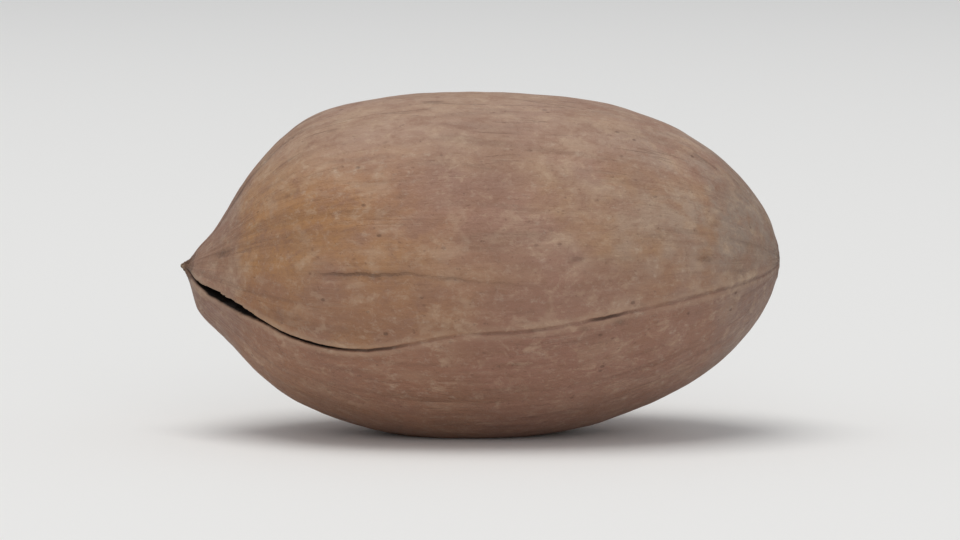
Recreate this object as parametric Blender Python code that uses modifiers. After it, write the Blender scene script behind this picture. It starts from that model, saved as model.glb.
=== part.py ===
"""A pecan in its shell, lying on its side.

The nut is one closed solid. Its long axis runs along X, with the beaked apex
at -X and the rounded base at +X. It rests on a small flat spot at z = 0, and
the origin is the middle of its footprint box, on that surface.

An angle "around" is measured about the long axis: 0 faces -Y (the front),
90 degrees faces up, 180 degrees faces +Y (the back).

How it is made:
  1. the meridian, a curve from the apex to the base, is turned by a Screw
     modifier into a plain spindle;
  2. every point of the spindle is moved to give the grown form: a little
     deeper than it is high, fuller on its upper shoulder, blunter below the
     apex, faintly four-sided towards its ends, with a low keel along the seam
     near the apex;
  3. three Boolean cuts take away the seam groove between the two halves, the
     open split at the apex end and the flat resting spot.
Everything is in metres.
"""

import math

import bmesh
import bpy
from mathutils import Vector

# ---------------------------------------------------------------- dimensions
LENGTH = 0.0410  # apex to base
HEIGHT = 0.0238  # across the fullest part, before the resting spot is cut
DEPTH = 0.0246  # front to back across the fullest part

FULLEST = 0.47  # where the girth is greatest, as a share of the length
APEX_POWER = 2.55  # how the beaked end draws in
BASE_POWER = 2.30  # how the rounded end closes
BASE_ROOT = 0.545

NIB_LENGTH = 0.00080  # the dry remnant of the flower at the apex
NIB_RADIUS = 0.00045
NIB_OUT = 0.00035  # how far the nib stands out of the end of the nut
SCAR_RADIUS = 0.0020  # where the nut was held in its husk, at the base
SCAR_HEIGHT = 0.00012

BASE_LIFT = 0.00042  # the base end sits this much above the long axis
FOUR_SIDED = 0.014  # how far the section leaves a circle near the ends
CHIN = 0.00160  # how much the lower half fills out just behind the nib
CHEEK = 0.00090  # the same, a little further along
KEEL_HEIGHT = 0.00016  # the low ridge that carries the seam near the apex
KEEL_WIDTH = 0.0024

SEAM_FRONT = math.radians(-26.0)  # where the seam runs on the front, near the apex
SEAM_RISE = math.radians(9.0)  # how far it climbs before the middle
SEAM_CLIMB = math.radians(6.5)  # how far it climbs from there to the base
SEAM_BEND = math.radians(2.6)  # how far it bends along the split
SEAM_RADIUS = 0.00019  # the groove is a round channel of this radius
SEAM_FROM, SEAM_TO = 0.018, 0.994  # it stops short of the nib and of the scar

SPLIT_LENGTH = 0.0118  # the seam stands open along this stretch
SPLIT_DEPTH = 0.0036
SPLIT_WIDTH = 0.00074

SPOT_DEPTH = 0.00030  # taken off below to make the flat resting spot

RINGS = 54  # stations along the length
STEPS = 44  # steps around
SEAM_POINTS = 60  # points along each side of the seam

SHELL_COLOUR = (0.245, 0.125, 0.070, 1.0)
SHELL_ROUGHNESS = 0.62


# --------------------------------------------------------------------- shape
def smooth(value, low, high):
    """0 below low, 1 above high, with an easy slope between."""
    t = min(1.0, max(0.0, (value - low) / (high - low)))
    return t * t * (3.0 - 2.0 * t)


def bell(value, middle, width):
    return math.exp(-(((value - middle) / width) ** 2))


def meridian(s):
    """Radius of the plain spindle as a share of the greatest, s = 0 at the apex."""
    if s < FULLEST:
        u = min(1.0, (FULLEST - s) / (FULLEST - NIB_OUT / LENGTH))
        return 1.0 - u**APEX_POWER
    u = (s - FULLEST) / (1.0 - FULLEST)
    return max(0.0, 1.0 - u**BASE_POWER) ** BASE_ROOT


def spindle_radius(s):
    """The meridian in metres, with the blunt nib that stands out of the apex."""
    radius = 0.5 * HEIGHT * meridian(s)
    nib = NIB_RADIUS * math.sqrt(min(1.0, s * LENGTH / NIB_LENGTH))
    return (radius**4 + nib**4) ** 0.25 if s < FULLEST else radius


def seam_angle(s):
    """Where the seam runs around the nut on its front; the back is half a turn on."""
    climb = SEAM_RISE * smooth(s, 0.26, 0.50) + SEAM_CLIMB * smooth(s, 0.50, 0.98)
    return SEAM_FRONT + climb + SEAM_BEND * (bell(s, 0.12, 0.05) - bell(s, 0.0, 0.06))


def turn_between(a, b):
    """The smallest turn from angle b to angle a."""
    return math.atan2(math.sin(a - b), math.cos(a - b))


def grown(s, around):
    """How much the grown nut stands out from the spindle there, as a factor."""
    upper = (0.5 + 0.5 * math.sin(around)) ** 1.5
    factor = 1.0 + upper * (0.10 * bell(s, 0.185, 0.10) - 0.26 * bell(s, 0.030, 0.045))
    ends = bell(s, 0.14, 0.13) + 0.7 * bell(s, 0.88, 0.11)
    factor += FOUR_SIDED * ends * math.cos(4.0 * (around - SEAM_FRONT))
    factor += 0.006 * math.sin(2.0 * around + 5.2 * s) * math.sin(math.pi * s)
    factor += 0.004 * math.sin(3.0 * around - 8.0 * s + 1.0) * math.sin(math.pi * s)
    return factor


def keel(s, around, radius):
    """The low ridge along the seam, on both sides of the nut."""
    beside = min(abs(turn_between(around, seam_angle(s))), abs(turn_between(around, seam_angle(s) + math.pi)))
    return KEEL_HEIGHT * bell(beside * radius, 0.0, KEEL_WIDTH) * (0.35 + 0.65 * bell(s, 0.10, 0.16))


def chin(s, around):
    """The blunter end of the lower half, in metres beyond the spindle."""
    below = (0.5 - 0.5 * math.sin(around)) ** 2.5
    fuller = CHIN * bell(s, 0.02, 0.055) + CHEEK * bell(s, 0.14, 0.085)
    return fuller * below * smooth(s * LENGTH, 0.0001, 0.0012)


def surface_point(s, around, along=None):
    """A point of the grown nut, with the long axis at z = 0."""
    radius = spindle_radius(s)
    fade = smooth(s * LENGTH, 0.5 * NIB_LENGTH, 3.0 * NIB_LENGTH) * smooth((1.0 - s) * LENGTH, 0.0, 0.0008)
    factor = 1.0 + (grown(s, around) - 1.0) * fade
    radius = radius * factor + keel(s, around, radius) * fade + chin(s, around)
    lift = BASE_LIFT * smooth(s, 0.50, 0.90)
    x = -0.5 * LENGTH + LENGTH * s if along is None else along
    return Vector((x, -radius * math.cos(around) * DEPTH / HEIGHT, radius * math.sin(around) + lift))


# ------------------------------------------------------------------ building
for old in list(bpy.data.objects):
    bpy.data.objects.remove(old, do_unlink=True)
for old in list(bpy.data.meshes) + list(bpy.data.curves):
    if not old.users:
        (bpy.data.meshes if isinstance(old, bpy.types.Mesh) else bpy.data.curves).remove(old)


def new_collection(name):
    made = bpy.data.collections.get(name) or bpy.data.collections.new(name)
    if made.name not in bpy.context.scene.collection.children:
        bpy.context.scene.collection.children.link(made)
    return made


PARTS = new_collection("pecan_in_shell")
CUTTERS = new_collection("cutters")


def as_mesh(source, name, collection):
    """A plain mesh object from whatever the source evaluates to; the source goes."""
    bpy.context.view_layer.update()
    evaluated = source.evaluated_get(bpy.context.evaluated_depsgraph_get())
    mesh = bpy.data.meshes.new_from_object(evaluated)
    mesh.name = name
    made = bpy.data.objects.new(name, mesh)
    made.matrix_world = source.matrix_world.copy()
    collection.objects.link(made)
    bpy.data.objects.remove(source, do_unlink=True)
    return made


def faces_out(mesh):
    """Weld what coincides and turn every face outwards."""
    work = bmesh.new()
    work.from_mesh(mesh)
    bmesh.ops.remove_doubles(work, verts=work.verts, dist=1e-6)
    bmesh.ops.recalc_face_normals(work, faces=work.faces)
    work.to_mesh(mesh)
    work.free()
    mesh.update()


def make_cutter(cutter):
    cutter.hide_render = True
    cutter.display_type = "WIRE"


def cut(target, cutter, name):
    make_cutter(cutter)
    modifier = target.modifiers.new(name, "BOOLEAN")
    modifier.operation = "DIFFERENCE"
    modifier.solver = "EXACT"
    modifier.object = cutter


# ---- 1. the turned spindle: stations lie closer together towards both ends
stations = [0.5 - 0.5 * math.cos(math.pi * k / RINGS) for k in range(RINGS + 1)]
profile = bpy.data.meshes.new("meridian")
points = [(spindle_radius(s) if 0.0 < s < 1.0 else 0.0, 0.0, -0.5 * LENGTH + LENGTH * s) for s in reversed(stations)]
profile.from_pydata(points, [(i, i + 1) for i in range(len(points) - 1)], [])
spindle = bpy.data.objects.new("meridian", profile)
PARTS.objects.link(spindle)
screw = spindle.modifiers.new("turn", "SCREW")
screw.axis = "Z"
screw.angle = 2.0 * math.pi
screw.steps = STEPS
screw.render_steps = STEPS
screw.use_merge_vertices = True
screw.merge_threshold = 1e-6
screw.use_smooth_shade = True
nut = as_mesh(spindle, "pecan_nut", PARTS)

# ---- 2. the grown form: lay the spindle down and move each point to its place
for vertex in nut.data.vertices:
    x, y, z = vertex.co
    s = min(1.0, max(0.0, z / LENGTH + 0.5))
    around = math.atan2(x, -y)
    place = surface_point(s, around)
    beside_scar = math.hypot(x, y)
    if s > 0.9:
        place.x += SCAR_HEIGHT * (1.0 - smooth(beside_scar, 0.15 * SCAR_RADIUS, SCAR_RADIUS))
    vertex.co = place
faces_out(nut.data)

# the box of the form decides where the origin and the surface below it are
low = Vector([min(v.co[i] for v in nut.data.vertices) for i in range(3)])
high = Vector([max(v.co[i] for v in nut.data.vertices) for i in range(3)])
place_at = Vector((-0.5 * (low.x + high.x), -0.5 * (low.y + high.y), -low.z - SPOT_DEPTH))
trim = LENGTH / (high.x - low.x)  # the scar's height is inside the stated length
for vertex in nut.data.vertices:
    moved = vertex.co + place_at
    vertex.co = (moved.x * trim, moved.y, moved.z)


def on_nut(s, around):
    """surface_point in the nut's final place."""
    moved = surface_point(s, around) + place_at
    return Vector((moved.x * trim, moved.y, moved.z))


# ---- 3a. the seam groove: thin round rods bent along the seam, one on each side
seam = bpy.data.curves.new("seam_path", "CURVE")
seam.dimensions = "3D"
seam.bevel_depth = SEAM_RADIUS
seam.bevel_resolution = 1
seam.use_fill_caps = True
seam.twist_mode = "MINIMUM"
for side in (0.0, math.pi):
    spline = seam.splines.new("POLY")
    spline.points.add(SEAM_POINTS - 1)
    for k, point in enumerate(spline.points):
        t = 0.5 - 0.5 * math.cos(math.pi * k / (SEAM_POINTS - 1))
        s = SEAM_FROM + (SEAM_TO - SEAM_FROM) * t
        co = on_nut(s, seam_angle(s) + side)
        point.co = (co.x, co.y, co.z, 1.0)
seam_rod = bpy.data.objects.new("seam_rod", seam)
CUTTERS.objects.link(seam_rod)
seam_rod = as_mesh(seam_rod, "seam_rod", CUTTERS)
faces_out(seam_rod.data)
cut(nut, seam_rod, "seam")

# ---- 3b. the open split at the apex end: a thin lens standing in the seam
bpy.ops.mesh.primitive_uv_sphere_add(segments=28, ring_count=14, radius=1.0)
split = bpy.context.active_object
split.name = "split_lens"
for owner in list(split.users_collection):
    owner.objects.unlink(split)
CUTTERS.objects.link(split)
start = on_nut(0.022, seam_angle(0.022))
end = on_nut(SPLIT_LENGTH / LENGTH, seam_angle(SPLIT_LENGTH / LENGTH))
run = (end - start).normalized()
middle = on_nut(0.5 * SPLIT_LENGTH / LENGTH, seam_angle(0.5 * SPLIT_LENGTH / LENGTH))
middle = 0.5 * (middle + 0.5 * (start + end))
outward = Vector((0.0, middle.y, middle.z - on_nut(0.5, 0.5 * math.pi).z + 0.5 * HEIGHT)).normalized()
across = run.cross(outward).normalized()
outward = across.cross(run).normalized()
for vertex in split.data.vertices:
    a, b, c = vertex.co
    vertex.co = (
        middle
        + run * (0.5 * (end - start).length * a)
        + outward * (0.5 * SPLIT_DEPTH * b)
        + across * (0.5 * SPLIT_WIDTH * c)
    )
faces_out(split.data)
cut(nut, split, "split")

# ---- 3c. the flat resting spot: everything below z = 0 goes
bpy.ops.mesh.primitive_cube_add(size=1.0, location=(0.0, 0.0, -0.5 * HEIGHT))
ground = bpy.context.active_object
ground.name = "ground_block"
ground.scale = (2.0 * LENGTH, 2.0 * DEPTH, HEIGHT)
for owner in list(ground.users_collection):
    owner.objects.unlink(ground)
CUTTERS.objects.link(ground)
cut(nut, ground, "resting_spot")

# ------------------------------------------------------------------ material
shell = bpy.data.materials.new("shell")
shell.use_nodes = True
principled = next(n for n in shell.node_tree.nodes if n.type == "BSDF_PRINCIPLED")
principled.inputs["Base Color"].default_value = SHELL_COLOUR
principled.inputs["Roughness"].default_value = SHELL_ROUGHNESS
principled.inputs["Metallic"].default_value = 0.0
nut.data.materials.clear()
nut.data.materials.append(shell)
nut.data.shade_smooth()
bpy.context.view_layer.update()
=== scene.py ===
"""A pecan in its shell, lying on its side on a plain pale floor.

The frame's node gives the nut's place and size. The nut's visible surface is
one fine closed mesh on the same form, with the seam, the split, the nib, the
scar, the creases and the pits as real shape, and a procedural finish.

An angle "around" is measured about the long axis: 0 faces -Y (the front),
90 degrees faces up. "s" runs from 0 at the apex to 1 at the base.
"""
import math

import bpy
import numpy as np
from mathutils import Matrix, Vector


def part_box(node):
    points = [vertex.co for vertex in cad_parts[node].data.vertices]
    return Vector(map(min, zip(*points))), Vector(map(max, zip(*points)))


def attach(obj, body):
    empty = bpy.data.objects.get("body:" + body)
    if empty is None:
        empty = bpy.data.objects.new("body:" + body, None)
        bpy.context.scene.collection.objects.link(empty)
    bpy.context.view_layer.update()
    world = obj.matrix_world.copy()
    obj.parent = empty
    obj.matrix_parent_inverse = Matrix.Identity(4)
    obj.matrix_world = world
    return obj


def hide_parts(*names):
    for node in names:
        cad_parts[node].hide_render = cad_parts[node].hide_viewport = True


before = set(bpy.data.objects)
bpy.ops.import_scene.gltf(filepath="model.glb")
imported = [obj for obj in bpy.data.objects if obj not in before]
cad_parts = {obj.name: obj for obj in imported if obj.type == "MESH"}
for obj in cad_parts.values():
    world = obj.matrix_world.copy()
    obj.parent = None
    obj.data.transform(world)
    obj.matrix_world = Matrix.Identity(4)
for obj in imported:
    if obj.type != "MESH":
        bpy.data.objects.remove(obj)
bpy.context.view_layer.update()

MM = 0.001

# ------------------------------------------------------------------ the form
LENGTH, HEIGHT, DEPTH = 41.0, 23.8, 24.6  # mm, as in the frame's node
FULLEST = 0.47
APEX_POWER, BASE_POWER, BASE_ROOT = 2.55, 2.30, 0.545
NIB_LENGTH, NIB_RADIUS, NIB_OUT = 0.80, 0.45, 0.35
SCAR_RADIUS, SCAR_HEIGHT = 2.0, 0.12
BASE_LIFT, FOUR_SIDED = 0.42, 0.014
CHIN, CHEEK = 1.60, 0.90
KEEL_HEIGHT, KEEL_WIDTH = 0.16, 2.4
SEAM_FRONT, SEAM_RISE, SEAM_CLIMB, SEAM_BEND = (math.radians(a) for a in (-26.0, 9.0, 6.5, 2.6))
SCAR_RIM = 1.15  # radius of the scar's broken rim

RINGS = 322  # stations along the nut
COLUMNS = 304  # points around it; they crowd together at the seam
CROWDING, CROWD_WIDTH = 7.0, 0.05


def smooth(value, low, high):
    t = np.clip((value - low) / (high - low), 0.0, 1.0)
    return t * t * (3.0 - 2.0 * t)


def bell(value, middle, width):
    return np.exp(-(((value - middle) / width) ** 2))


def wrap(angle):
    return np.arctan2(np.sin(angle), np.cos(angle))


class Noise:
    """Smooth gradient noise in three dimensions, the same on every run."""

    def __init__(self, seed):
        pick = np.random.default_rng(seed)
        self.order = pick.permutation(1024)
        lines = pick.normal(size=(1024, 3))
        self.lines = lines / np.linalg.norm(lines, axis=1, keepdims=True)

    def __call__(self, x, y, z):
        p = np.stack(np.broadcast_arrays(x, y, z), axis=-1)
        cell = np.floor(p).astype(np.int64)
        part = p - cell
        ease = part**3 * (part * (part * 6.0 - 15.0) + 10.0)
        total = np.zeros(p.shape[:-1])
        for i in (0, 1):
            for j in (0, 1):
                for k in (0, 1):
                    h = self.order[(cell[..., 0] + i) & 1023]
                    h = self.order[(h + cell[..., 1] + j) & 1023]
                    h = self.order[(h + cell[..., 2] + k) & 1023]
                    dot = (self.lines[h] * (part - (i, j, k))).sum(-1)
                    wx = ease[..., 0] if i else 1.0 - ease[..., 0]
                    wy = ease[..., 1] if j else 1.0 - ease[..., 1]
                    wz = ease[..., 2] if k else 1.0 - ease[..., 2]
                    total += wx * wy * wz * dot
        return 1.6 * total

    def layers(self, x, y, z, count=3, gain=0.5):
        total, size, weight = 0.0, 1.0, 1.0
        for n in range(count):
            total = total + weight * self(x * size + 17.3 * n, y * size - 9.1 * n, z * size + 4.7 * n)
            size, weight = size * 2.03, weight * gain
        return total


def meridian(s):
    u = np.clip((FULLEST - s) / (FULLEST - NIB_OUT / LENGTH), 0.0, 1.0)
    v = np.clip((s - FULLEST) / (1.0 - FULLEST), 0.0, 1.0)
    return np.where(s < FULLEST, 1.0 - u**APEX_POWER, (1.0 - v**BASE_POWER) ** BASE_ROOT)


def spindle_radius(s):
    radius = 0.5 * HEIGHT * meridian(s)
    nib = NIB_RADIUS * np.sqrt(np.clip(s * LENGTH / NIB_LENGTH, 0.0, 1.0))
    return np.where(s < FULLEST, (radius**4 + nib**4) ** 0.25, radius)


def seam_angle(s):
    climb = SEAM_RISE * smooth(s, 0.26, 0.50) + SEAM_CLIMB * smooth(s, 0.50, 0.98)
    return SEAM_FRONT + climb + SEAM_BEND * (bell(s, 0.12, 0.05) - bell(s, 0.0, 0.06))


def chin(s, around):
    """The blunter end of the lower half, in mm beyond the spindle."""
    below = (0.5 - 0.5 * np.sin(around)) ** 2.5
    fuller = CHIN * bell(s, 0.02, 0.055) + CHEEK * bell(s, 0.14, 0.085)
    return fuller * below * smooth(s * LENGTH, 0.1, 1.2)


def plain_form(s, around):
    """Points in mm of the nut before any fine relief, long axis at z = 0."""
    radius = spindle_radius(s)
    fade = smooth(s * LENGTH, 0.5 * NIB_LENGTH, 3.0 * NIB_LENGTH) * smooth((1.0 - s) * LENGTH, 0.0, 0.8)
    upper = (0.5 + 0.5 * np.sin(around)) ** 1.5
    factor = upper * (0.10 * bell(s, 0.185, 0.10) - 0.26 * bell(s, 0.030, 0.045))
    ends = bell(s, 0.14, 0.13) + 0.7 * bell(s, 0.88, 0.11)
    factor = factor + FOUR_SIDED * ends * np.cos(4.0 * (around - SEAM_FRONT))
    factor = factor + 0.006 * np.sin(2.0 * around + 5.2 * s) * np.sin(math.pi * s)
    factor = factor + 0.004 * np.sin(3.0 * around - 8.0 * s + 1.0) * np.sin(math.pi * s)
    beside = np.minimum(np.abs(wrap(around - seam_angle(s))), np.abs(wrap(around - seam_angle(s) - math.pi)))
    keel = KEEL_HEIGHT * bell(beside * radius, 0.0, KEEL_WIDTH) * (0.35 + 0.65 * bell(s, 0.10, 0.16))
    grown = radius * (1.0 + factor * fade) + keel * fade + chin(s, around)
    on_scar = 1.0 - smooth(radius, 0.15 * SCAR_RADIUS, SCAR_RADIUS)
    x = LENGTH * (s - 0.5) + np.where(s > 0.9, SCAR_HEIGHT * on_scar, 0.0)
    y = -grown * np.cos(around) * DEPTH / HEIGHT
    z = grown * np.sin(around) + BASE_LIFT * smooth(s, 0.50, 0.90)
    return np.stack(np.broadcast_arrays(x, y, z), axis=-1)


# ------------------------------------------------------- the grid of points
s_line = 0.5 - 0.5 * np.cos(np.pi * np.arange(1, RINGS) / RINGS)
fine = np.linspace(0.0, 2.0 * np.pi, 20001)
crowd = 1.0 + CROWDING * (bell(wrap(fine), 0.0, CROWD_WIDTH) + bell(np.abs(wrap(fine)), np.pi, CROWD_WIDTH))
reached = np.concatenate([[0.0], np.cumsum(0.5 * (crowd[1:] + crowd[:-1]))])
turn_line = np.interp(np.arange(COLUMNS) / COLUMNS * reached[-1], reached, fine)
S, TURN = np.meshgrid(s_line, turn_line, indexing="ij")
AROUND = seam_angle(S) + TURN
RADIUS = spindle_radius(S)
plain = plain_form(S, AROUND)

# outward normals of the plain form
step = 1e-4
along = plain_form(np.clip(S + step, 0.0, 1.0), AROUND) - plain_form(np.clip(S - step, 0.0, 1.0), AROUND)
across = plain_form(S, AROUND + step) - plain_form(S, AROUND - step)
normal = np.cross(across, along)
normal /= np.maximum(np.linalg.norm(normal, axis=-1, keepdims=True), 1e-12)
outward = plain - np.stack([plain[..., 0], np.zeros_like(S), BASE_LIFT * smooth(S, 0.5, 0.9)], axis=-1)
normal *= np.where((normal * outward).sum(-1, keepdims=True) < 0.0, -1.0, 1.0)

# ------------------------------------------------------------ the fine relief
noise = Noise(228)
noise_b = Noise(1417)
X, Y, Z = plain[..., 0], plain[..., 1], plain[..., 2]
C, D = np.cos(AROUND), np.sin(AROUND)
from_apex, from_base = S * LENGTH, (1.0 - S) * LENGTH
near_apex = 1.0 - smooth(S, 0.06, 0.42)
near_base = smooth(S, 0.74, 0.97)
clear_ends = smooth(from_apex, 0.5, 2.2) * smooth(from_base, 0.05, 0.7)

relief = np.zeros_like(S)
# soft swells and dents, then finer unevenness
calm = clear_ends * (1.0 - 0.45 * near_base)
relief += 0.15 * noise.layers(X / 9.5, Y / 7.0, Z / 7.0, 2, 0.4) * calm
relief += 0.040 * noise.layers(X / 3.6 + 40, Y / 2.3, Z / 2.3, 3) * calm
# long fine ribs along the nut, which gather at both ends
ribs = noise.layers(11.0 * C, 11.0 * D, 5.0 * S, 2, 0.6)
relief += (0.016 + 0.030 * near_apex + 0.018 * near_base) * ribs * clear_ends
ribs_b = noise_b.layers(26.0 * C, 26.0 * D, 9.0 * S, 2, 0.6)
relief += (0.008 + 0.012 * near_apex + 0.008 * near_base) * ribs_b * clear_ends

# the seam: distance from it in mm along the surface, on either side of the nut
on_front = np.abs(wrap(TURN)) < 0.5 * math.pi
by_seam = smooth(np.abs(np.cos(TURN)), 0.0, 0.5)
seam_radius = RADIUS + np.where(on_front, chin(S, seam_angle(S)), 0.0)
from_seam = np.where(on_front, wrap(TURN), wrap(TURN - math.pi)) * seam_radius
upper_half = np.sin(TURN) > 0.0
side = np.where(on_front, 0.0, 50.0)
wander = 0.055 * noise(S * 52.0, side, 3.0) + 0.022 * noise(S * 170.0, side, 9.0)
beside = from_seam - wander * clear_ends
patchy = 0.85 + 0.45 * noise(S * 16.0, side + 7.0, 1.0) + 0.2 * noise(S * 60.0, side + 9.0, 1.0)
on_front_strength = 0.30 + 0.66 * (1.0 - smooth(S, 0.27, 0.42)) + 0.34 * bell(S, 0.70, 0.035)
strength = np.where(on_front, on_front_strength, 0.66) * np.clip(patchy, 0.35, 1.3)
seam_ends = smooth(from_apex, 0.45, 0.9) * smooth(from_base, 0.05, 0.30)
relief -= 0.19 * strength * bell(beside, 0.0, 0.085 + 0.03 * strength) * seam_ends
relief += 0.040 * strength * bell(np.abs(beside), 0.36, 0.22) * seam_ends
step_up = np.tanh(beside / 0.10) * bell(beside, 0.0, 1.3) * by_seam
relief += np.where(on_front, 0.030, -0.012) * step_up * strength * seam_ends

# the split: the seam stands open near the apex, in two runs that all but meet
ragged = 1.0 + 0.24 * noise(S * 70.0, 5.0, 2.0) + 0.12 * noise(S * 210.0, 5.0, 7.0)
half_gap = 0.34 * smooth(S, -0.004, 0.064) * (1.0 - smooth(S, 0.095, 0.172))
half_gap = np.maximum(half_gap, 0.14 * smooth(S, 0.140, 0.195) * (1.0 - smooth(S, 0.225, 0.305)))
half_gap = half_gap * ragged * np.where(beside < 0.0, 0.60 + 0.40 * smooth(S, 0.032, 0.090), 1.0)
open_here = np.where(on_front, smooth(half_gap - np.abs(beside), -0.015, 0.070), 0.0) * (half_gap > 0.01)
gap_depth = np.minimum(2.1 * smooth(half_gap, 0.0, 0.24), 0.50 * seam_radius)
# beside the gap the shell lifts, the upper lip more than the lower
lift_beside = np.where(on_front, bell(beside, 0.0, 1.1), 0.0) * smooth(half_gap, 0.02, 0.28) * by_seam
relief += np.where(beside > 0.0, 0.12, 0.03) * lift_beside * smooth(from_apex, 0.6, 2.4)
relief -= gap_depth * open_here

# a long shallow crease across the front; the finish paints shade along its fine dark floor
CREASE_AT, CREASE_FALL = math.radians(2.2), math.radians(-4.2)
from_crease = wrap(AROUND - CREASE_AT - CREASE_FALL * smooth(S, 0.34, 0.66)) * RADIUS
crease = smooth(S, 0.205, 0.250) * (1.0 - 0.55 * smooth(S, 0.33, 0.40)) * (1.0 - smooth(S, 0.53, 0.65))
relief -= 0.060 * crease * bell(from_crease, 0.0, 0.38)
relief += 0.035 * crease * bell(from_crease, -0.85, 0.48)

# shorter folds that run with the ribs, all round the nut
pick = np.random.default_rng(52)
scratches = np.zeros_like(S)
for n in range(40):
    at, mid = pick.uniform(-math.pi, math.pi), pick.uniform(0.10, 0.93)
    half_run, wide = pick.uniform(0.03, 0.10), pick.uniform(0.26, 0.50)
    slant, deep = pick.normal(0.0, 0.30), pick.uniform(0.25, 1.0)
    if abs(at) < math.radians(62.0):
        deep *= 0.6
    away = wrap(AROUND - at - slant * (S - mid) - 0.012 * noise(S * 40.0, 90.0 + n, 0.0)) * RADIUS
    scratches += deep * bell(away, 0.0, wide) * np.exp(-(((S - mid) / half_run) ** 4))
relief -= 0.050 * np.clip(scratches, 0.0, 1.2)

# small pits, a few of them in the places where the front shows dark dots
pits = np.zeros_like(S)
places = [(0.075, 17.2, 0.36, 1.0), (0.372, 28.5, 0.42, 0.6), (0.187, 36.3, 0.38, 0.55), (0.654, 6.4, 0.44, 0.7),
          (0.869, 5.7, 0.42, 0.8), (0.672, -17.6, 0.34, 0.8), (0.728, -17.0, 0.38, 0.9), (0.560, 44.0, 0.32, 0.4)]
for n in range(90):
    places.append((
        pick.uniform(0.05, 0.96), math.degrees(pick.uniform(-math.pi, math.pi)),
        pick.uniform(0.20, 0.36), pick.uniform(0.15, 0.7),
    ))
uneven = 1.0 + 0.30 * noise_b(X / 0.55, Y / 0.45, Z / 0.45)
for at_s, at_turn, size, deep in places:
    away = np.hypot((S - at_s) * LENGTH * 0.62, wrap(AROUND - math.radians(at_turn)) * RADIUS) * uneven
    pits = np.maximum(pits, deep * bell(away, 0.0, size))
relief -= 0.070 * pits * clear_ends

# the nib: fluted and rough; the scar: a rough disc with a broken rim
from_tip = 0.8 * np.linalg.norm(plain - np.array([-0.5 * LENGTH, 0.0, 0.0]), axis=-1)
nib = 1.0 - smooth(from_tip, 0.35, 1.15)
relief += nib * (0.050 * noise_b.layers(X / 0.22, Y / 0.22, Z / 0.22, 2) + 0.036 * np.cos(5.0 * AROUND))
at_base = smooth(S, 0.9, 0.95)
ragged_rim = SCAR_RIM * (1.0 + 0.16 * noise.layers(2.0 * C, 2.0 * D, 5.0, 3))
broken = np.clip(0.8 + 0.7 * noise(3.0 * C, 3.0 * D, 5.0), 0.2, 1.4)
relief += at_base * 0.018 * broken * bell(RADIUS, ragged_rim + 0.10, 0.15)
relief -= at_base * 0.034 * (1.0 - smooth(RADIUS, ragged_rim - 0.22, ragged_rim))
relief -= at_base * 0.045 * (1.0 - smooth(RADIUS, 0.06, 0.34))
relief += at_base * 0.020 * noise_b.layers(X / 0.3, Y / 0.3, Z / 0.3, 2) * (1.0 - smooth(RADIUS, 1.0, 1.9))

points = plain + normal * relief[..., None]

# ------------------------------------------------ its place, from the frame
low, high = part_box("pecan_nut")
low, high = np.array(low) / MM, np.array(high) / MM
apex_tip = np.array([-0.5 * LENGTH, 0.0, 0.0])
base_tip = np.array([0.5 * LENGTH + SCAR_HEIGHT - 0.079, 0.0, BASE_LIFT])
everything = np.concatenate([points.reshape(-1, 3), [apex_tip, base_tip]])
was_low, was_high = everything.min(0), everything.max(0)
size_x = (high[0] - low[0]) / (was_high[0] - was_low[0])
size_y = (high[1] - low[1]) / (was_high[1] - was_low[1])
SPOT_DEPTH = 0.30
size_z = (high[2] - low[2] + SPOT_DEPTH) / (was_high[2] - was_low[2])
everything = (everything - 0.5 * (was_low + was_high)) * (size_x, size_y, size_z)
everything += (0.5 * (low[0] + high[0]), 0.5 * (low[1] + high[1]), 0.0)
everything[:, 2] += high[2] - everything[:, 2].max()
resting = everything[:, 2] < 0.0
everything[:, 2] = np.maximum(everything[:, 2], 0.0)

count = S.size
rows, cols = S.shape
index = np.arange(count).reshape(rows, cols)
a, b = index[:-1, :], index[1:, :]
quads = np.stack([a, b, np.roll(b, -1, axis=1), np.roll(a, -1, axis=1)], axis=-1).reshape(-1, 4)
apex_at, base_at = count, count + 1
first, last = index[0], index[-1]
fans = [(apex_at, int(first[j]), int(first[(j + 1) % cols])) for j in range(cols)]
fans += [(base_at, int(last[(j + 1) % cols]), int(last[j])) for j in range(cols)]

mesh = bpy.data.meshes.new("pecan_shell")
mesh.from_pydata((everything * MM).tolist(), [], quads.tolist() + fans)
mesh.validate()
mesh.update()
shell = bpy.data.objects.new("pecan_shell", mesh)
bpy.context.scene.collection.objects.link(shell)
mesh.shade_smooth()

# the faces must point out of the nut
probe = mesh.polygons[(rows // 2) * cols + cols // 4]
middle = Vector((0.0, 0.0, 0.5 * float(low[2] + high[2]) * MM))
if (probe.center - middle).dot(probe.normal) < 0.0:
    mesh.flip_normals()


def keep(name, values, at_apex, at_base):
    """Store three numbers a point for the finish to read."""
    flat = np.stack(np.broadcast_arrays(*values), axis=-1).reshape(-1, 3)
    flat = np.concatenate([flat, [at_apex, at_base]]).astype(np.float32)
    mesh.attributes.new(name, "FLOAT_VECTOR", "POINT").data.foreach_set("vector", flat.ravel())


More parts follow.
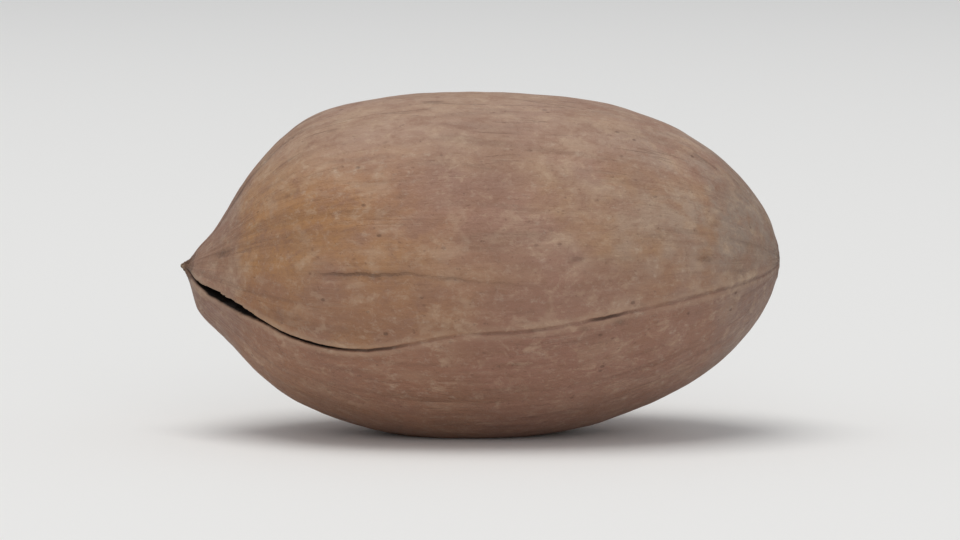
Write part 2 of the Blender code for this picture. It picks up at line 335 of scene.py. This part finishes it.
half = np.where(upper_half, 1.0, 0.0)
half = np.where(np.abs(from_seam) < 0.25, 0.5 + 0.5 * np.where(on_front, 1, -1) * from_seam / 0.25, half)
keep("grain", (C, D, S), (0.0, 0.0, 0.0), (0.0, 0.0, 1.0))
keep("seam", (beside, strength * seam_ends, half), (0.0, 0.0, 0.5), (0.0, 0.0, 0.5))
keep("marks", (np.clip(scratches, 0.0, 1.0), pits, open_here * smooth(gap_depth, 0.0, 0.7)), (0, 0, 0), (0, 0, 0))
scar_radius = np.where(S > 0.9, np.clip(RADIUS * SCAR_RIM / ragged_rim / 4.0, 0.0, 1.0), 1.0)
keep("ends", (np.clip(from_tip / 4.0, 0.0, 1.0), scar_radius, np.clip(ribs, -1, 1) * 0.5 + 0.5), (0, 1, 0.5), (1, 0, 0.5))

# ----------------------------------------------------------------- its finish


def linear(r, g, b):
    """A colour as seen on a screen, 0 to 255, as the renderer counts it."""
    out = []
    for value in (r, g, b):
        value /= 255.0
        out.append(value / 12.92 if value <= 0.04045 else ((value + 0.055) / 1.055) ** 2.4)
    return (*out, 1.0)


class Tree:
    """Short names for the shader nodes used below."""

    def __init__(self, material):
        self.tree = material.node_tree

    def make(self, kind, **settings):
        node = self.tree.nodes.new(kind)
        for name, value in settings.items():
            setattr(node, name, value)
        return node

    def put(self, socket, value):
        if isinstance(value, bpy.types.NodeSocket):
            self.tree.links.new(value, socket)
        else:
            socket.default_value = value

    def stored(self, name):
        return self.make("ShaderNodeAttribute", attribute_name=name, attribute_type="GEOMETRY").outputs["Vector"]

    def parts(self, vector):
        node = self.make("ShaderNodeSeparateXYZ")
        self.put(node.inputs[0], vector)
        return node.outputs

    def scaled(self, vector, x, y, z, shift=(0.0, 0.0, 0.0)):
        node = self.make("ShaderNodeMapping", vector_type="POINT")
        self.put(node.inputs["Vector"], vector)
        node.inputs["Scale"].default_value = (x, y, z)
        node.inputs["Location"].default_value = shift
        return node.outputs[0]

    def noise(self, vector, scale=1.0, detail=3.0, rough=0.5, twist=0.0):
        node = self.make("ShaderNodeTexNoise", noise_dimensions="3D")
        self.put(node.inputs["Vector"], vector)
        node.inputs["Scale"].default_value = scale
        node.inputs["Detail"].default_value = detail
        node.inputs["Roughness"].default_value = rough
        node.inputs["Distortion"].default_value = twist
        return node.outputs[0]

    def cells(self, vector, scale=1.0, feature="F1"):
        node = self.make("ShaderNodeTexVoronoi", feature=feature)
        self.put(node.inputs["Vector"], vector)
        node.inputs["Scale"].default_value = scale
        return node.outputs["Distance"]

    def sum(self, operation, first, second=0.0, third=0.0, clamp=False):
        node = self.make("ShaderNodeMath", operation=operation, use_clamp=clamp)
        for socket, value in zip(node.inputs, (first, second, third)):
            self.put(socket, value)
        return node.outputs[0]

    def span(self, value, low, high, to_low=0.0, to_high=1.0):
        """value mapped from low..high to to_low..to_high, eased and clamped."""
        node = self.make("ShaderNodeMapRange", interpolation_type="SMOOTHSTEP")
        for socket, given in zip(node.inputs, (value, low, high, to_low, to_high)):
            self.put(socket, given)
        return node.outputs[0]

    def mix(self, share, first, second, blend="MIX"):
        node = self.make("ShaderNodeMix", data_type="RGBA", blend_type=blend, clamp_factor=True)
        self.put(node.inputs[0], share)
        self.put(node.inputs[6], first)
        self.put(node.inputs[7], second)
        return node.outputs[2]

    def bump(self, height, distance, strength=1.0, under=None):
        node = self.make("ShaderNodeBump")
        self.put(node.inputs["Height"], height)
        node.inputs["Distance"].default_value = distance
        node.inputs["Strength"].default_value = strength
        if under is not None:
            self.put(node.inputs["Normal"], under)
        return node.outputs[0]


finish = bpy.data.materials.new("pecan_shell_finish")
finish.use_nodes = True
t = Tree(finish)
shader = next(n for n in finish.node_tree.nodes if n.type == "BSDF_PRINCIPLED")

place = t.scaled(t.make("ShaderNodeTexCoord").outputs["Object"], 1000.0, 1000.0, 1000.0)  # mm
grain = t.stored("grain")
grain_parts = t.parts(grain)
go_s, go_up, go_front = grain_parts[2], grain_parts[1], grain_parts[0]
seam_parts = t.parts(t.stored("seam"))
mark_parts = t.parts(t.stored("marks"))
end_parts = t.parts(t.stored("ends"))

GOLD = linear(168, 122, 79)
TAN = linear(162, 126, 97)
PINK = linear(154, 116, 97)
GREY = linear(164, 141, 124)
BROWN = linear(128, 92, 70)
DARK = linear(84, 57, 43)
BLACKISH = linear(28, 19, 15)
PALE = linear(188, 160, 134)
DUST = linear(204, 187, 168)


def times(*values):
    """The product of several values or sockets."""
    total = values[0]
    for value in values[1:]:
        total = t.sum("MULTIPLY", total, value)
    return total


# broad patches
patch_a = t.noise(t.scaled(place, 0.085, 0.11, 0.11), detail=3.0, rough=0.55, twist=0.6)
patch_b = t.noise(t.scaled(place, 0.13, 0.17, 0.17, (31.0, 7.0, 2.0)), detail=4.0, rough=0.6, twist=0.4)
patch_c = t.noise(t.scaled(place, 0.30, 0.42, 0.42, (11.0, 3.0, 8.0)), detail=4.0, rough=0.6)
colour = t.mix(t.span(patch_a, 0.38, 0.62), TAN, PINK)
gold_share = times(t.span(patch_b, 0.34, 0.58), t.span(go_s, 0.62, 0.16), t.span(go_up, 0.92, 0.40, 0.15, 1.0))
colour = t.mix(gold_share, colour, GOLD)
gold_front = times(t.span(go_s, 0.095, 0.130), t.span(go_s, 0.30, 0.15), t.span(go_front, 0.35, 0.80), 0.55)
colour = t.mix(gold_front, colour, GOLD)
grey_share = times(t.span(patch_c, 0.34, 0.62), t.span(go_s, 0.46, 0.92), 0.85)
colour = t.mix(grey_share, colour, GREY)
# painted light: the top is paler, as if lit from above, and greyer in tint, most of all towards the apex
top_painted_light_and_grey = times(t.span(go_up, 0.48, 0.92), t.span(go_s, 0.08, 0.22), t.span(go_s, 0.78, 0.46, 0.35, 1.0))
# painted light on the top, with a grey tint
colour = t.mix(times(top_painted_light_and_grey, 0.42), colour, linear(178, 153, 135))
# the half below the front seam is a little redder in tint, and darker with painted shade
lower_half_tint_and_shade = times(t.span(seam_parts[2], 0.9, 0.1, 0.0, 0.60), t.span(go_front, -0.3, 0.4, 0.60, 1.0))
# redder tint with painted shade on the lower half
colour = t.mix(lower_half_tint_and_shade, colour, linear(146, 106, 90))
# painted shade: the front between the crease and the seam is darker and browner; above the crease is a darker pinkish
# patch
front_painted_shade = times(t.span(go_up, 0.14, -0.10), t.span(go_up, -0.82, -0.50), t.span(go_front, 0.1, 0.5))
# painted shade on the lower front
colour = t.mix(times(front_painted_shade, t.span(patch_c, 0.30, 0.55, 0.22, 0.40)), colour, linear(136, 93, 75))
darker_patch = times(
    t.span(t.sum("ABSOLUTE", t.sum("SUBTRACT", go_s, 0.49)), 0.12, 0.03),
    t.span(t.sum("ABSOLUTE", t.sum("SUBTRACT", go_up, 0.62)), 0.28, 0.08), t.span(go_front, 0.1, 0.4))
colour = t.mix(times(darker_patch, t.span(patch_c, 0.35, 0.60, 0.22, 0.42)), colour, linear(132, 100, 86))
# the pointed end is paler and pinker
tip_zone = t.sum("MULTIPLY_ADD", t.sum("SUBTRACT", patch_c, 0.5), 0.05, go_s)
colour = t.mix(t.span(tip_zone, 0.118, 0.092, 0.0, 0.62), colour, linear(143, 112, 98))
colour = t.mix(times(t.span(tip_zone, 0.075, 0.045), t.span(go_front, 0.4, 0.8), 0.14), colour, linear(168, 146, 132))
# the rounded end is greyer in tone and darker with painted shade
base_grey_and_shade = t.sum("MULTIPLY_ADD", t.sum("SUBTRACT", patch_c, 0.5), 0.10, go_s)
# grey tone with painted shade at the rounded end
colour = t.mix(t.span(base_grey_and_shade, 0.84, 0.93, 0.0, 0.40), colour, linear(120, 109, 101))

# streaks that run along the nut
streak_a = t.noise(t.scaled(grain, 7.0, 7.0, 3.2), detail=4.0, rough=0.62, twist=0.3)
streak_b = t.noise(t.scaled(grain, 20.0, 20.0, 5.5, (4.0, 9.0, 1.0)), detail=3.0, rough=0.6, twist=0.2)
fibre = t.noise(t.scaled(grain, 54.0, 54.0, 16.0, (2.0, 3.0, 5.0)), detail=3.0, rough=0.62, twist=0.3)
fibre_zone = t.span(t.noise(t.scaled(place, 0.20, 0.30, 0.30, (9.0, 1.0, 4.0)), detail=3.0), 0.42, 0.64, 0.18, 1.0)
colour = t.mix(t.span(streak_a, 0.50, 0.72, 0.0, 0.34), colour, BROWN)
colour = t.mix(t.span(streak_b, 0.56, 0.76, 0.0, 0.20), colour, BROWN)
colour = t.mix(t.span(streak_b, 0.42, 0.28, 0.0, 0.15), colour, PALE)
# soft blotches a millimetre or two across, and smaller ones within them
blotch = t.noise(t.scaled(place, 0.60, 0.84, 0.84, (3.0, 21.0, 9.0)), detail=5.0, rough=0.70, twist=0.45)
colour = t.mix(t.span(blotch, 0.50, 0.67, 0.0, 0.50), colour, t.mix(0.45, BROWN, PINK))
colour = t.mix(t.span(blotch, 0.47, 0.31, 0.0, 0.44), colour, PALE)
cloud = t.noise(t.scaled(place, 0.32, 0.46, 0.46, (13.0, 4.0, 6.0)), detail=3.0, rough=0.6, twist=0.5)
colour = t.mix(t.span(cloud, 0.50, 0.63, 0.0, 0.34), colour, t.mix(0.6, BROWN, PINK))
colour = t.mix(times(t.span(cloud, 0.47, 0.33), t.span(seam_parts[2], 0.0, 1.0, 0.17, 0.30)), colour, PALE)
mottle = t.noise(t.scaled(place, 1.5, 2.0, 2.0, (7.0, 2.0, 5.0)), detail=4.0, rough=0.66, twist=0.5)
colour = t.mix(t.span(mottle, 0.53, 0.70, 0.0, 0.28), colour, BROWN)
colour = t.mix(t.span(mottle, 0.45, 0.29, 0.0, 0.25), colour, PALE)
# dark streaks near the apex, weaker on the front
apex_zone = t.span(go_s, 0.40, 0.07)
hidden = t.span(go_front, 0.75, -0.1, 0.22, 1.0)
dark_streak = t.noise(t.scaled(grain, 10.0, 10.0, 2.6, (8.0, 1.0, 6.0)), detail=6.0, rough=0.68, twist=0.5)
dark_share = times(t.span(dark_streak, 0.56, 0.63), apex_zone, hidden)
colour = t.mix(times(dark_share, 0.85), colour, DARK)
thin_streak = t.noise(t.scaled(grain, 26.0, 26.0, 3.4, (2.0, 7.0, 4.0)), detail=4.0, rough=0.62, twist=0.4)
thin_share = times(t.span(thin_streak, 0.60, 0.65), t.span(go_s, 0.30, 0.10), hidden)
colour = t.mix(times(thin_share, 0.60), colour, DARK)
# a little darker in the hollows between the ribs
colour = t.mix(times(t.span(end_parts[2], 0.38, 0.16), 0.16), colour, DARK)
# fine fibre: lighter and darker threads, in some places more than in others
colour = t.mix(times(t.span(fibre, 0.52, 0.78), fibre_zone, 0.15), colour, DARK)
colour = t.mix(times(t.span(fibre, 0.46, 0.24), fibre_zone, 0.12), colour, DUST)

# dark flecks and pale dust
fleck_grain = t.noise(t.scaled(place, 2.2, 3.2, 3.2), detail=3.0, rough=0.65)
colour = t.mix(t.span(fleck_grain, 0.62, 0.74, 0.0, 0.40), colour, DARK)
fleck = t.cells(t.scaled(place, 0.62, 0.95, 0.95), feature="F1")
fleck_small = times(t.span(fleck, 0.15, 0.06), t.span(patch_c, 0.42, 0.60))
colour = t.mix(times(fleck_small, 0.55), colour, DARK)
dust = t.noise(t.scaled(place, 1.5, 1.9, 1.9, (5.0, 5.0, 5.0)), detail=5.0, rough=0.72)
dust_share = times(t.span(dust, 0.52, 0.76), t.span(patch_b, 0.35, 0.65, 0.14, 0.36))
colour = t.mix(dust_share, colour, DUST)

# thin broken wrinkles that run with the grain
wrinkle_noise = t.noise(t.scaled(grain, 8.5, 8.5, 2.6, (1.0, 5.0, 7.0)), detail=3.0, rough=0.5, twist=0.4)
wrinkle_zone = t.span(t.noise(t.scaled(grain, 6.0, 6.0, 6.5, (6.0, 2.0, 3.0)), detail=2.0), 0.55, 0.64)
wrinkle_zone = times(wrinkle_zone, t.span(go_front, 0.95, 0.10, 0.30, 1.0))
wrinkle = times(t.span(t.sum("ABSOLUTE", t.sum("SUBTRACT", wrinkle_noise, 0.5)), 0.020, 0.003), wrinkle_zone)
colour = t.mix(times(wrinkle, 0.40), colour, DARK)

# the fine floor of the long crease on the front: painted shade, a dark line with a softer brown band beside it
angle = t.sum("ARCTAN2", go_up, go_front)
sway = t.noise(t.scaled(grain, 0.0, 0.0, 17.0, (3.0, 8.0, 2.0)), detail=3.0, rough=0.5)
crease_at = t.sum("MULTIPLY_ADD", t.span(go_s, 0.34, 0.66), CREASE_FALL, CREASE_AT)
crease_at = t.sum("MULTIPLY_ADD", sway, 0.075, t.sum("SUBTRACT", crease_at, 0.0375))
crease_off = times(t.sum("ABSOLUTE", t.sum("SUBTRACT", angle, crease_at)), 10.8)  # mm
crease_off = times(crease_off, t.span(mottle, 0.35, 0.65, 0.75, 1.5))
crease_run = times(t.span(go_s, 0.218, 0.275), t.span(go_s, 0.64, 0.46), t.span(go_s, 0.330, 0.400, 1.0, 0.45))
crease_run = times(crease_run, t.span(t.noise(t.scaled(grain, 0.0, 0.0, 15.0), detail=1.0), 0.36, 0.50, 0.35, 1.0))
# painted shade in the crease
crease_dark = times(t.span(crease_off, 0.13, 0.03), crease_run)
colour = t.mix(times(crease_dark, 0.50), colour, DARK)
colour = t.mix(times(t.span(crease_off, 0.42, 0.05), crease_run, 0.40), colour, t.mix(0.5, BROWN, DARK))

# folds, pits, the seam and the split
colour = t.mix(times(t.span(mark_parts[0], 0.30, 1.0), 0.14), colour, DARK)
pit_share = times(t.span(mark_parts[1], 0.15, 0.95), t.span(fleck_grain, 0.34, 0.56, 0.45, 1.0))
colour = t.mix(times(pit_share, 0.50), colour, DARK)
away = t.sum("ABSOLUTE", seam_parts[0])
lip = times(t.span(away, 0.70, 0.28), t.span(away, 0.10, 0.22), t.sum("MULTIPLY_ADD", seam_parts[1], 0.30, 0.10))
colour = t.mix(lip, colour, PALE)
line = times(t.span(away, 0.17, 0.05), t.span(seam_parts[1], 0.05, 0.80))
colour = t.mix(times(line, 0.88), colour, t.mix(0.5, BLACKISH, DARK))
# painted shade: the inside of the split is near-black, darker than its own dark brown
colour = t.mix(t.span(mark_parts[2], 0.01, 0.14), colour, BLACKISH)

# the nib and the scar
frayed = t.noise(t.scaled(grain, 1.9, 1.9, 24.0, (5.0, 1.0, 2.0)), detail=4.0, rough=0.65)
tip_off = t.sum("MULTIPLY_ADD", t.sum("SUBTRACT", frayed, 0.5), 1.0, times(end_parts[0], 4.0))  # mm
tip_off = t.sum("MULTIPLY_ADD", t.sum("SUBTRACT", fleck_grain, 0.5), 0.8, tip_off)
colour = t.mix(t.span(tip_off, 1.15, 0.75, 0.0, 0.72), colour, linear(116, 86, 66))
tip_edge = t.span(t.sum("ABSOLUTE", t.sum("SUBTRACT", tip_off, 1.05)), 0.26, 0.04)
colour = t.mix(times(tip_edge, t.span(mottle, 0.40, 0.60, 0.15, 0.65)), colour, DARK)
colour = t.mix(t.span(tip_off, 0.38, 0.14, 0.0, 0.6), colour, PALE)
from_scar = t.sum("MULTIPLY_ADD", t.sum("SUBTRACT", frayed, 0.5), 0.45, times(end_parts[1], 4.0))  # mm
from_scar = t.sum("MULTIPLY_ADD", t.sum("SUBTRACT", fleck_grain, 0.5), 1.1, from_scar)
stain = times(t.span(from_scar, 3.6, 1.1), t.span(streak_b, 0.40, 0.60, 0.25, 1.0))
colour = t.mix(times(stain, 0.34), colour, BROWN)
disc = t.mix(t.span(t.sum("ADD", fibre, t.sum("SUBTRACT", mottle, 0.5)), 0.36, 0.64), BROWN, linear(170, 143, 114))
colour = t.mix(t.span(from_scar, SCAR_RIM, SCAR_RIM - 0.30, 0.0, 0.60), colour, disc)
rim_edge = t.span(t.sum("ABSOLUTE", t.sum("SUBTRACT", from_scar, SCAR_RIM)), 0.26, 0.03)
rim_gaps = t.noise(t.scaled(grain, 1.5, 1.5, 0.0, (4.0, 6.0, 1.0)), detail=4.0, rough=0.7)
colour = t.mix(times(rim_edge, t.span(rim_gaps, 0.44, 0.60, 0.06, 0.72)), colour, DARK)
colour = t.mix(t.span(from_scar, 0.42, 0.05, 0.0, 0.62), colour, DARK)
t.put(shader.inputs["Base Color"], colour)

rough = t.span(patch_c, 0.3, 0.7, 0.50, 0.62)
rough = t.sum("ADD", rough, times(dust_share, 0.30))
rough = t.sum("ADD", rough, t.span(mottle, 0.3, 0.7, -0.05, 0.06), clamp=True)
t.put(shader.inputs["Roughness"], rough)
shader.inputs["Specular IOR Level"].default_value = 0.38

tiny = t.noise(t.scaled(place, 9.0, 13.0, 13.0), detail=3.0, rough=0.6)
grit = t.noise(t.scaled(place, 3.0, 4.6, 4.6, (1.0, 2.0, 3.0)), detail=4.0, rough=0.62)
hollow = t.sum("ADD", times(wrinkle, 0.7), t.sum("ADD", crease_dark, times(fleck_small, 0.5)))
soft = t.bump(grit, 0.00006, 1.0)
soft = t.bump(times(fibre, fibre_zone), 0.00006, 1.0, soft)
soft = t.bump(streak_b, 0.00007, 1.0, soft)
soft = t.bump(mottle, 0.00006, 1.0, soft)
soft = t.bump(times(hollow, -1.0), 0.00006, 1.0, soft)
soft = t.bump(tiny, 0.000016, 1.0, soft)
t.put(shader.inputs["Normal"], soft)

mesh.materials.append(finish)
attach(shell, "root")
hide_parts("pecan_nut")

# ------------------------------------------------------------ floor and light


def plain_material(name, colour, rough):
    material = bpy.data.materials.new(name)
    material.use_nodes = True
    node = next(n for n in material.node_tree.nodes if n.type == "BSDF_PRINCIPLED")
    node.inputs["Base Color"].default_value = colour
    node.inputs["Roughness"].default_value = rough
    node.inputs["Specular IOR Level"].default_value = 0.2
    return material


# a wide level floor, so that it is all that any view from above shows
sheet = bpy.data.meshes.new("floor_sheet")
rim = [(4.0 * math.cos(a), 4.0 * math.sin(a), 0.0) for a in np.linspace(0.0, 2.0 * math.pi, 97)[:-1]]
sheet.from_pydata(rim, [], [tuple(range(len(rim)))])
sheet.materials.append(plain_material("pale_floor", linear(238, 237, 235), 0.75))
floor = bpy.data.objects.new("floor_sheet", sheet)
bpy.context.scene.collection.objects.link(floor)


def lamp(name, place, towards, size, power, colour=(1.0, 1.0, 1.0)):
    data = bpy.data.lights.new(name, "AREA")
    data.shape = "RECTANGLE"
    data.size, data.size_y = size
    data.energy = power
    data.color = colour
    made = bpy.data.objects.new(name, data)
    made.location = place
    made.rotation_euler = (Vector(towards) - Vector(place)).to_track_quat("-Z", "Y").to_euler()
    bpy.context.scene.collection.objects.link(made)


lamp("overhead", (-0.19, -0.13, 1.60), (0.0, 0.0, 0.0), (1.34, 1.09), 15.0, (1.0, 0.985, 0.96))
lamp("front", (0.32, -1.98, 0.83), (0.0, 0.0, 0.01), (1.60, 1.15), 7.5, (0.97, 0.985, 1.0))

world = bpy.data.worlds.new("soft_room")
world.use_nodes = True
backing = next(n for n in world.node_tree.nodes if n.type == "BACKGROUND")
backing.inputs["Color"].default_value = (0.93, 0.96, 1.0, 1.0)
backing.inputs["Strength"].default_value = 0.45
bpy.context.scene.world = world
bpy.context.scene.view_settings.view_transform = "Standard"
bpy.context.scene.view_settings.look = "None"

# --------------------------------------------------------------------- camera
camera_data = bpy.data.cameras.new("camera")
camera_data.lens = 200.0
camera_data.sensor_width = 36.0
camera = bpy.data.objects.new("camera", camera_data)
bpy.context.scene.collection.objects.link(camera)
look_at = Vector((0.0, 0.0, 0.0112))
elevation = math.radians(5.0)
distance = 0.365
camera.location = look_at + distance * Vector((0.0, -math.cos(elevation), math.sin(elevation)))
camera.rotation_euler = (look_at - camera.location).to_track_quat("-Z", "Y").to_euler()
camera_data.clip_start, camera_data.clip_end = 0.01, 10.0
bpy.context.scene.camera = camera
